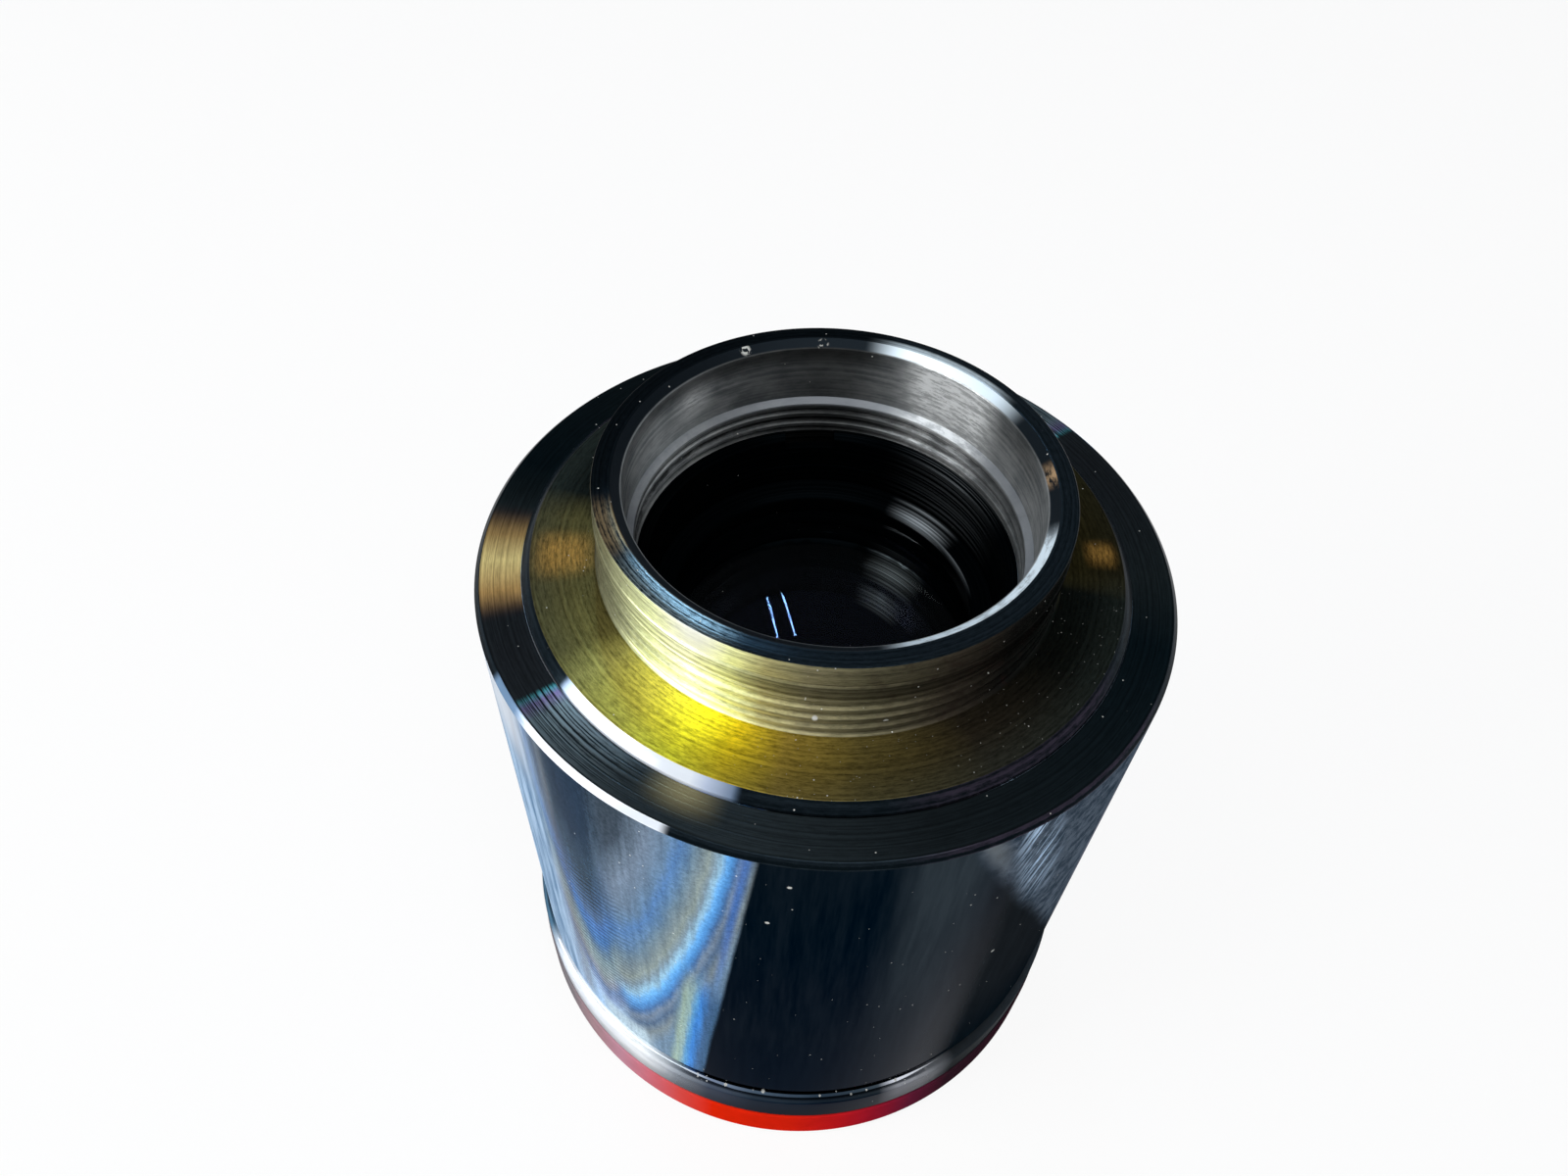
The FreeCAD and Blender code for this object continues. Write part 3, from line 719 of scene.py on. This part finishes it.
def chrome_ring():
    """Black chrome of the collar and the nose ring, with a painted highlight where the light catches the
    bead and painted shade towards the foot.
    """
    finish = Finish("chrome_ring")
    half_turn = finish.half_turn
    grit = finish.noise(1.4, 5.0, 0.75, finish.wound(finish.z * 2.0, 14.0))
    # Painted highlight and reflections on the bead, front and back.
    painted_glint = finish.along(
        half_turn, (180, (0.03, 0.04, 0.05)), (208, (0.1, 0.22, 0.34)), (216, (0.88, 0.93, 1.0)),
        (242, (0.95, 0.98, 1.0)), (250, (0.34, 0.38, 0.43)), (257, (0.07, 0.09, 0.13)),
        (266, (0.022, 0.034, 0.05)), (280, (0.008, 0.014, 0.022)), (291, (0.014, 0.02, 0.026)),
        (295, (0.24, 0.25, 0.28)), (301, (0.22, 0.23, 0.25)), (308, (0.018, 0.022, 0.026)),
        (360, (0.03, 0.04, 0.05)))
    # Painted shade towards the foot.
    foot = finish.z.fade(-33.6, -35.4)
    colour = finish.scaled(painted_glint, (1 - foot * 0.45) * (grit * 0.6 + 0.7))
    shine = 1 - half_turn.between(208, 250, 10) * 0.75 - half_turn.between(302, 346, 10) * 0.92
    crumbs = finish.specks(1.7, 0.26, 0.55) + finish.specks(3.6, 0.28, 0.4)
    ledge = finish.radius.between(18.75, 19.2, 0.06) * finish.z.fade(-33.0, -32.8)
    ledge = ledge * half_turn.between(254, 300, 6)
    dust = finish.specks(1.5, 0.08, 0.14) + ledge * crumbs * 0.8
    return finish.metal(colour, 0.07, shine, dust, BLACK_CHROME)


def red_enamel():
    """Red enamel, paler towards the light and plum towards the dark side."""
    finish = Finish("red_enamel")
    # Painted light and shade around the ring.
    painted_shade = finish.along(
        finish.half_turn, (180, (0.08, 0.01, 0.022)), (200, (0.16, 0.13, 0.14)), (218, (0.2, 0.18, 0.19)),
        (228, (0.36, 0.22, 0.24)), (236, (0.5, 0.24, 0.3)), (243, (0.58, 0.16, 0.2)),
        (251, (0.68, 0.07, 0.06)), (258, (0.74, 0.02, 0.003)), (274, (0.71, 0.016, 0.005)),
        (283, (0.58, 0.011, 0.014)), (291, (0.36, 0.01, 0.026)), (299, (0.14, 0.014, 0.04)),
        (308, (0.035, 0.012, 0.02)), (345, (0.035, 0.012, 0.02)), (360, (0.08, 0.01, 0.022)))
    colour = finish.scaled(painted_shade, finish.noise(0.6, 3.0) * 0.3 + 0.85)
    return finish.surface({"Base Color": colour, "Roughness": 0.25, "Specular IOR Level": 0.0})


def black_anodised():
    """Black turned parts inside. The cone over the rear lens and the first step under it have painted
    highlights where they catch the light.
    """
    finish = Finish("black_anodised")
    turn, radius, z = finish.turn, finish.radius, finish.z
    marks = finish.rings(radius * 0.9 + z * 0.8, 6.0, 5.0)
    tone = marks.fade(0.42, 0.6)
    ring = z.between(-5.3, -4.4, 0.2)
    # Painted highlights: arcs on the cone, its edge, the step under it and the tube wall, at the back right.
    cone_arc = turn.near(411, 17) * ring * (radius.between(8.55, 9.3, 0.25) + radius.near(9.6, 0.2) * 0.6)
    edge_arc = turn.near(390, 22) * ring * radius.near(8.7, 0.12) * 0.8
    step = z.fade(-9, -10) * (radius.near(7.8, 0.7) + radius.near(6.4, 0.6) * 0.35)
    step_arc = turn.near(418, 16) * step
    painted_wall_glint = turn.near(404, 30) * z.fade(-4.5, -4.3) * tone * 0.1
    painted_fan = (cone_arc + edge_arc + step_arc).capped() * (tone * 0.8 + 0.2) + painted_wall_glint
    black = finish.mix(tone, (0.0005, 0.001, 0.0014), (0.0014, 0.0022, 0.0028))
    colour = finish.mix(painted_fan.capped(), black, (0.5, 0.55, 0.58))
    normal = finish.bump(marks, 0.004)
    return finish.metal(colour, 0.22, 0.4, finish.specks(1.2, 0.05, 0.06), {"Normal": normal})


def plain_metal(name, scale, dark, pale, roughness):
    """Bare metal of the hidden pieces, between two colours."""
    finish = Finish(name)
    colour = finish.mix(finish.noise(scale, 3.0).fade(0.3, 0.7), dark, pale)
    return finish.surface({"Base Color": colour, "Metallic": 1.0, "Roughness": roughness})


def clear_glass(name, index, film, mirrored):
    """Optical glass of a refractive index, with an anti-reflection film of a thickness in nanometres.
    Mirrored tints and weakens what its faces mirror."""
    finish = Finish(name)
    dust = finish.specks(1.6, 0.04, 0.08)
    return finish.surface({
        "Base Color": finish.mix(dust, (0.95, 0.98, 0.97), (0.5, 0.5, 0.5)),
        "Roughness": dust * 0.4,
        "IOR": index,
        "Transmission Weight": 1.0,
        "Thin Film Thickness": film,
        "Thin Film IOR": FILM_INDEX,
        "Specular Tint": (*mirrored, 1),
    })


def paint(piece, *materials):
    for material in materials:
        piece.data.materials.append(material)


def paint_where(piece, slot_index, inside):
    """Gives a material slot to the faces whose middle's radius and height, in millimetres, pass the test."""
    for face in piece.data.polygons:
        radius = math.hypot(face.center.x, face.center.y) / MM
        if inside(radius, face.center.z / MM, face.normal):
            face.material_index = slot_index


def arc(middle, radius, start, end, steps):
    """Points of a round stretch about a middle, between two angles in degrees."""
    points = []
    for n in range(steps + 1):
        angle = math.radians(start + (end - start) * n / steps)
        points.append((middle[0] + radius * math.cos(angle), middle[1] + radius * math.sin(angle)))
    return points


def mount_body(finishes):
    """The brass body, with its neck turned in steps and a small fillet at the neck's foot."""
    fillet_r = thread_root_r + fillet_width
    body = turn("turned_mount", [
        (rim_r, neck_top_z, 0.04),
        (lead_in_r, neck_top_z, 0.09),
        (lead_in_r, land_top_z + score_depth, 0.02),
        (lead_in_r - score_depth, land_top_z + score_depth / 2),
        (lead_in_r, land_top_z, 0.02),
        (land_r, land_top_z - land_top_slope, 0.03),
        (land_r, land_foot_z + land_foot_slope, 0.05),
        (thread_root_r, land_foot_z, 0.05),
        (thread_root_r, fillet_height, 0.1),
        (fillet_r, 0, 0.12),
        (boss_r - face_chamfer_width, 0, 0.03),
        (boss_r, -face_chamfer_depth, 0.03),
        (boss_r, flange_top_z),
        (flange_r, flange_top_z),
        (flange_r, flange_foot_z),
        (skirt_r, flange_foot_z),
        (skirt_r, body_foot_z),
        (seat_r, body_foot_z),
        (seat_r, seat_z),
        (guide_bore_r, seat_z),
        (guide_bore_r, lock_top_z - 0.05),
        (inner_thread_r, lock_top_z),
        (inner_thread_r, inner_land_z),
        (guide_bore_r, inner_land_z, 0.03),
        (guide_bore_r, ledge_z - ledge_chamfer_depth, 0.03),
        (neck_bore_r, ledge_z, 0.03),
        (neck_bore_r, neck_top_z - rim_chamfer_depth, 0.03),
    ])
    paint(body, finishes["gold_face"], finishes["brass_side"], finishes["blued_edge"], finishes["bare_bore"])
    rim_inside_r = rim_r - PAINT_MARGIN
    paint_where(body, 1, lambda r, z, n: z > 0.004 and r > thread_root_r - PAINT_MARGIN)
    paint_where(body, 2, lambda r, z, n: z > neck_top_z - 2 * PAINT_MARGIN and r > rim_inside_r)
    paint_where(body, 2, lambda r, z, n: z < -PAINT_MARGIN and r > boss_r - face_chamfer_width)
    paint_where(body, 3, lambda r, z, n: r < rim_inside_r)
    place(body, "mount_brass", "mount_body")

    half = thread_crest_width / 2
    slope = (thread_r - thread_root_r) * math.tan(math.radians(30))
    ridge = wind("neck_thread", [
        (thread_root_r - ridge_root, thread_start_z - half - slope),
        (thread_crest_r, thread_start_z - half, 0.03),
        (thread_crest_r, thread_start_z + half, 0.03),
        (thread_root_r - ridge_root, thread_start_z + half + slope),
    ], thread_pitch, thread_turns)
    paint(ridge, finishes["brass_side"])
    place(ridge, "mount_brass")

    start_z = lock_top_z - bore_thread_start
    inner = wind("bore_thread", [
        (inner_thread_r + bore_thread_root, start_z - 0.3),
        (guide_bore_r + 0.01, start_z - 0.12, 0.03),
        (guide_bore_r + 0.01, start_z + 0.12, 0.03),
        (inner_thread_r + bore_thread_root, start_z + 0.3),
    ], thread_pitch, bore_thread_turns)
    paint(inner, finishes["bare_bore"])
    place(inner, "mount_brass")


def outer_sleeve(finishes):
    hole_r = boss_r + slide_gap
    sleeve = turn("turned_sleeve", [
        (hole_r, shoulder_z, 0.04),
        (barrel_r - shoulder_edge, shoulder_z, 0.04),
        (barrel_r, shoulder_z - shoulder_edge, 0.04),
        (barrel_r, sleeve_foot_z + sleeve_foot_edge, 0.06),
        (barrel_r - sleeve_foot_edge, sleeve_foot_z, 0.05),
        (sleeve_bore_r, sleeve_foot_z),
        (sleeve_bore_r, flange_top_z),
        (hole_r, flange_top_z),
    ])
    paint(sleeve, finishes["chrome_barrel"], finishes["chrome_shoulder"], finishes["blued_edge"])
    paint_where(sleeve, 1, lambda r, z, n: n.z > FACING_UP and z > shoulder_z - 0.05)
    paint_where(sleeve, 2, lambda r, z, n: 0.1 < n.z < FACING_UP and r > barrel_r - 1)
    place(sleeve, "black_chrome", "outer_sleeve")


def lower_collar(finishes):
    spigot_r = sleeve_bore_r - slide_gap
    top_middle = (collar_r - collar_top_round, collar_top_z - collar_top_round)
    foot_middle = (collar_r - collar_foot_round, collar_foot_z + collar_foot_round)
    collar = turn("turned_collar", [
        (spigot_r, spigot_top_z),
        (spigot_r, sleeve_foot_z),
        (groove_r, sleeve_foot_z),
        (groove_r, collar_top_z),
        *arc(top_middle, collar_top_round, 90, 0, 10),
        *arc(foot_middle, collar_foot_round, 0, -90, 6),
        (skirt_hole_r, collar_foot_z),
        (skirt_hole_r, web_top_z),
        (spigot_r - spigot_wall, web_top_z),
        (spigot_r - spigot_wall, spigot_top_z),
    ])
    paint(collar, finishes["chrome_ring"])
    place(collar, "black_chrome", "lower_collar")


def magnification_ring(finishes):
    band = turn("red_band", [
        (band_seat_r, collar_foot_z),
        (band_r, collar_foot_z, band_edge),
        (band_r, band_foot_z, band_edge),
        (band_seat_r, band_foot_z),
    ])
    paint(band, finishes["red_enamel"])
    place(band, "red_enamel", "magnification_ring")


def nose_ring(finishes):
    nose = turn("turned_nose", [
        (skirt_hole_r, collar_foot_z),
        (band_seat_r - slide_gap, collar_foot_z),
        (band_seat_r - slide_gap, band_foot_z),
        (nose_r, band_foot_z, 0.05),
        (nose_r, nose_z + nose_edge, 0.08),
        (nose_r - nose_edge, nose_z, 0.08),
        (nose_opening_r, nose_z, 0.15),
        (seat_r, body_foot_z),
        (skirt_hole_r, body_foot_z),
    ])
    paint(nose, finishes["chrome_ring"])
    place(nose, "black_chrome", "nose_ring")


def lens_tube(finishes):
    tube = turn("turned_lens_tube", [
        (tube_bore_r, tube_top_z, 0.05),
        (tube_r, tube_top_z),
        (tube_r, tube_foot_z),
        (tube_lip_r, tube_foot_z, 0.1),
        (tube_lip_r, tube_lip_z, 0.1),
        (tube_bore_r, tube_lip_z),
    ])
    paint(tube, finishes["black_anodised"])
    place(tube, "blackened_metal", "lens_tube")


def lock_ring(finishes):
    ring = turn("turned_lock_ring", [
        (lock_bore_r, tube_top_z),
        (guide_bore_r - thread_gap, tube_top_z),
        (guide_bore_r - thread_gap, lock_top_z, 0.04),
        (lock_bore_r + lock_chamfer, lock_top_z, 0.04),
        (lock_bore_r, lock_top_z - lock_chamfer, 0.06),
    ])
    bpy.ops.object.select_all(action="DESELECT")
    bpy.ops.mesh.primitive_cube_add(size=1)
    bar = bpy.context.object
    bar.scale = (3 * guide_bore_r * MM, spanner_slot_width * MM, 2 * spanner_slot_depth * MM)
    bar.location.z = lock_top_z * MM
    bar.rotation_euler.z = math.radians(spanner_slot_turn)
    bpy.ops.object.transform_apply(location=True, rotation=True, scale=True)
    cut_away(ring, bar)
    paint(ring, finishes["black_anodised"])
    place(ring, "blackened_metal", "parfocal_lock_ring")


def rear_retaining_ring(finishes):
    foot_z = foot_of("rear_retaining_ring")
    top_z = top_of("rear_retaining_ring")
    outer_r = radius_of("rear_retaining_ring")
    ring = turn("turned_retaining_ring", [
        (rear_clear_r, foot_z, 0.04),
        (outer_r, foot_z),
        (outer_r, top_z, 0.04),
        (rear_clear_r, top_z - rear_cone_depth, 0.05),
    ])
    paint(ring, finishes["black_anodised"])
    place(ring, "blackened_metal", "rear_retaining_ring")


def smooth_copy(node, name, slot, material):
    """A node's own mesh with its corners joined, so that it shades smoothly."""
    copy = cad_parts[node].copy()
    copy.data = copy.data.copy()
    copy.name = name
    bpy.context.scene.collection.objects.link(copy)
    pick(copy)
    bpy.ops.object.mode_set(mode="EDIT")
    join_corners()
    bpy.ops.object.mode_set(mode="OBJECT")
    copy.data.materials.clear()
    paint(copy, material)
    place(copy, slot, node)


def sag(curve, radius):
    """How far a lens surface has fallen at a radius. A negative curve rises away from its middle."""
    return math.copysign(abs(curve) - math.sqrt(curve * curve - radius * radius), curve)


def lens(name, lens_r, top_z, top_curve, foot_z, foot_curve):
    """A glass element between two spherical surfaces."""
    radii = [lens_r * n / LENS_STEPS for n in range(LENS_STEPS + 1)]
    foot = [(radius, foot_z - sag(foot_curve, radius)) for radius in radii]
    top = [(radius, top_z - sag(top_curve, radius)) for radius in reversed(radii)]
    return turn(name, foot + top, LENS_AROUND)


def rear_doublet(finishes):
    """Crown and flint of the rear doublet. Their cemented faces mirror nothing and take a finish of their
    own. Light passes both lenses as if they weren't there, so that the steps under them are lit."""
    crown_top_z = top_of("rear_crown_lens")
    flint_top_z = crown_top_z - rear_crown_thickness
    crown_foot_z = flint_top_z + cement_gap
    flint_foot_z = flint_top_z - rear_flint_thickness
    crown = lens("rear_crown", rear_lens_r, crown_top_z, rear_top_curve, crown_foot_z, rear_cement_curve)
    flint = lens("rear_flint", rear_lens_r, flint_top_z, rear_cement_curve, flint_foot_z, rear_bottom_curve)
    paint(crown, finishes["coated_glass"], finishes["cement"])
    paint(flint, finishes["lens_glass"], finishes["cement"])
    paint_where(crown, 1, lambda r, z, n: n.z < -0.5)
    paint_where(flint, 1, lambda r, z, n: n.z > 0.5)
    place(crown, "coated_glass", "rear_crown_lens")
    place(flint, "lens_glass", "rear_flint_lens")
    for lens_object in (crown, flint):
        lens_object.visible_shadow = False
        lens_object.visible_diffuse = False
        lens_object.visible_glossy = False


def inner_pieces(finishes):
    """The turned pieces seen through the rear lens, shaded smoothly."""
    black = finishes["black_anodised"]
    for node in ("stepped_baffle", "aperture_stop"):
        smooth_copy(node, "smooth_" + node, "blackened_metal", black)
    smooth_copy("rear_lens_cell", "smooth_rear_cell", "cell_brass", black)


def dress_hidden_nodes(finishes):
    """The nodes that stay as they are take a finish too. The middle cell is blackened like the tube."""
    dressed = {
        "black_anodised": ("middle_spacer", "front_element_spacer", "front_retaining_ring",
                           "middle_lens_cell"),
        "cell_brass": ("front_group_cell", "parfocal_shim"),
        "screw_steel": ("centring_screws",),
        "lens_glass": ("middle_crown_lens", "middle_flint_lens", "front_crown_lens", "front_flint_lens"),
        "coated_glass": ("front_meniscus_lens",),
    }
    for finish, nodes in dressed.items():
        for node in nodes:
            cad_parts[node].data.materials.clear()
            paint(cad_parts[node], finishes[finish])


def stage():
    """A pale floor that turns up into a low backdrop. It glows for the camera, for mirrors and through
    glass, but not under the nose, and is matt for all other light."""
    floor_r = 500
    bend_r = 80
    wall_r = 600
    wall_top_z = nose_z + 300
    thickness = 20
    backdrop = turn("floor_and_backdrop", [
        (0, nose_z),
        (floor_r, nose_z),
        *arc((floor_r, nose_z + bend_r), bend_r, -90, 0, 16)[1:],
        (wall_r, wall_top_z),
        (wall_r + thickness, wall_top_z),
        (wall_r + thickness, nose_z - thickness),
        (0, nose_z - thickness),
    ], 96)
    for face in backdrop.data.polygons:
        face.use_smooth = True
    finish = Finish("pale_floor")
    kinds = ("Is Camera Ray", "Is Glossy Ray", "Is Transmission Ray")
    camera_ray, glossy_ray, glass_ray = (finish.node("LightPath", {}, {}, kind) for kind in kinds)
    seen = (camera_ray + glossy_ray + glass_ray).capped()
    colour = finish.mix(finish.noise(0.02, 2.0), (0.88, 0.88, 0.88), (0.92, 0.92, 0.92))
    glow_colour = finish.mix(finish.z.fade(20, 150), (1.0, 1.0, 1.0), (0.3, 0.31, 0.33))
    glow = finish.node("Emission", {}, {"Color": glow_colour})
    matt = finish.node("BsdfDiffuse", {}, {"Color": colour})
    # No glow under the nose: a painted shadow there.
    outside_painted_shadow = finish.radius.fade(15.0, 18.5)
    shader = finish.node("MixShader", {}, {0: seen * outside_painted_shadow * 0.9, 1: matt, 2: glow})
    finish.node("OutputMaterial", {}, {"Surface": shader})
    paint(backdrop, finish.material)


def way_to(turn_angle, lift):
    """The direction from the origin at a turn and a lift in degrees."""
    level = math.cos(math.radians(lift))
    turn_angle = math.radians(turn_angle)
    return Vector((math.cos(turn_angle) * level, math.sin(turn_angle) * level, math.sin(math.radians(lift))))


def lamp(name, middle, rotation, width, height, brightness, colour):
    """A rectangular lamp. Its middle, width and height are metres."""
    light = bpy.data.lights.new(name, "AREA")
    light.shape = "RECTANGLE"
    light.size = width
    light.size_y = height
    light.energy = brightness * math.pi * width * height
    light.color = colour
    holder = bpy.data.objects.new(name, light)
    holder.location = middle
    holder.rotation_euler = rotation.to_euler()
    bpy.context.scene.collection.objects.link(holder)


def softbox(name, turn_angle, lift, distance, width, height, brightness, colour=(1, 1, 1)):
    """A softbox that faces the origin, seen from there at a turn and a lift in degrees."""
    way = way_to(turn_angle, lift)
    rotation = way.to_track_quat("Z", "Y")
    lamp(name, way * distance * MM, rotation, width * MM, height * MM, brightness, colour)


def tube_lamp(name, *ends):
    """A lamp tube between two places, each a turn and a lift in degrees seen from the origin."""
    first, second = (way_to(*end) * TUBE_DISTANCE * MM for end in ends)
    middle = (first + second) / 2
    along = (second - first).normalized()
    across = along.cross(middle).normalized()
    rotation = Matrix((across, along, across.cross(along))).transposed()
    length = (second - first).length
    lamp(name, middle, rotation, TUBE_WIDTH * MM, length, TUBE_BRIGHTNESS, TUBE_COLOUR)


def lights():
    # Turn, lift, distance, width, height, brightness and colour
    softbox("side_softbox", 203, 21, 400, 230, 170, 7.0)
    softbox("cool_softbox", 198, 60, 420, 150, 130, 4.0, (0.86, 0.94, 1.0))
    softbox("key_softbox", 285, 68, 500, 400, 400, 2.6)
    tube_lamp("tube_lamp_1", (103.2, 45.4), (102.4, 57.2))
    tube_lamp("tube_lamp_2", (99.6, 45.1), (96.8, 56.4))
    world = bpy.data.worlds.new("studio")
    world.use_nodes = True
    background = world.node_tree.nodes["Background"]
    background.inputs["Color"].default_value = (0.13, 0.14, 0.155, 1)
    bpy.context.scene.world = world


def camera():
    """The photograph's viewpoint: a wide lens close above the front edge."""
    view = bpy.data.cameras.new("viewpoint")
    view.lens = 25.36
    view.sensor_width = 36.0
    view.clip_start = MM
    holder = bpy.data.objects.new("viewpoint", view)
    holder.location = Vector((-0.37, -41.6, 43.61)) * MM
    holder.rotation_euler = [math.radians(angle) for angle in (41.026, -2.37, 5.338)]
    bpy.context.scene.collection.objects.link(holder)
    bpy.context.scene.camera = holder


def main():
    bpy.context.scene.view_settings.view_transform = "Standard"
    painters = (gold_face, brass_side, blued_edge, bare_bore, chrome_shoulder, chrome_barrel, chrome_ring,
                red_enamel, black_anodised)
    finishes = {painter.__name__: painter() for painter in painters}
    finishes.update({
        "cell_brass": plain_metal("cell_brass", 1.5, (0.35, 0.26, 0.09), (0.5, 0.38, 0.15), 0.35),
        "screw_steel": plain_metal("screw_steel", 3.0, (0.3, 0.3, 0.31), (0.5, 0.5, 0.5), 0.3),
        "lens_glass": clear_glass("lens_glass", 1.52, 0, (0.08, 0.08, 0.08)),
        "coated_glass": clear_glass("coated_glass", 1.52, 105, (0.35, 0.5, 0.8)),
        "cement": clear_glass("cement", 1.0, 0, (1, 1, 1)),
    })
    pieces = (mount_body, outer_sleeve, lower_collar, magnification_ring, nose_ring, lens_tube, lock_ring,
              rear_retaining_ring, rear_doublet, inner_pieces, dress_hidden_nodes)
    for make in pieces:
        make(finishes)
    stage()
    lights()
    camera()


main()
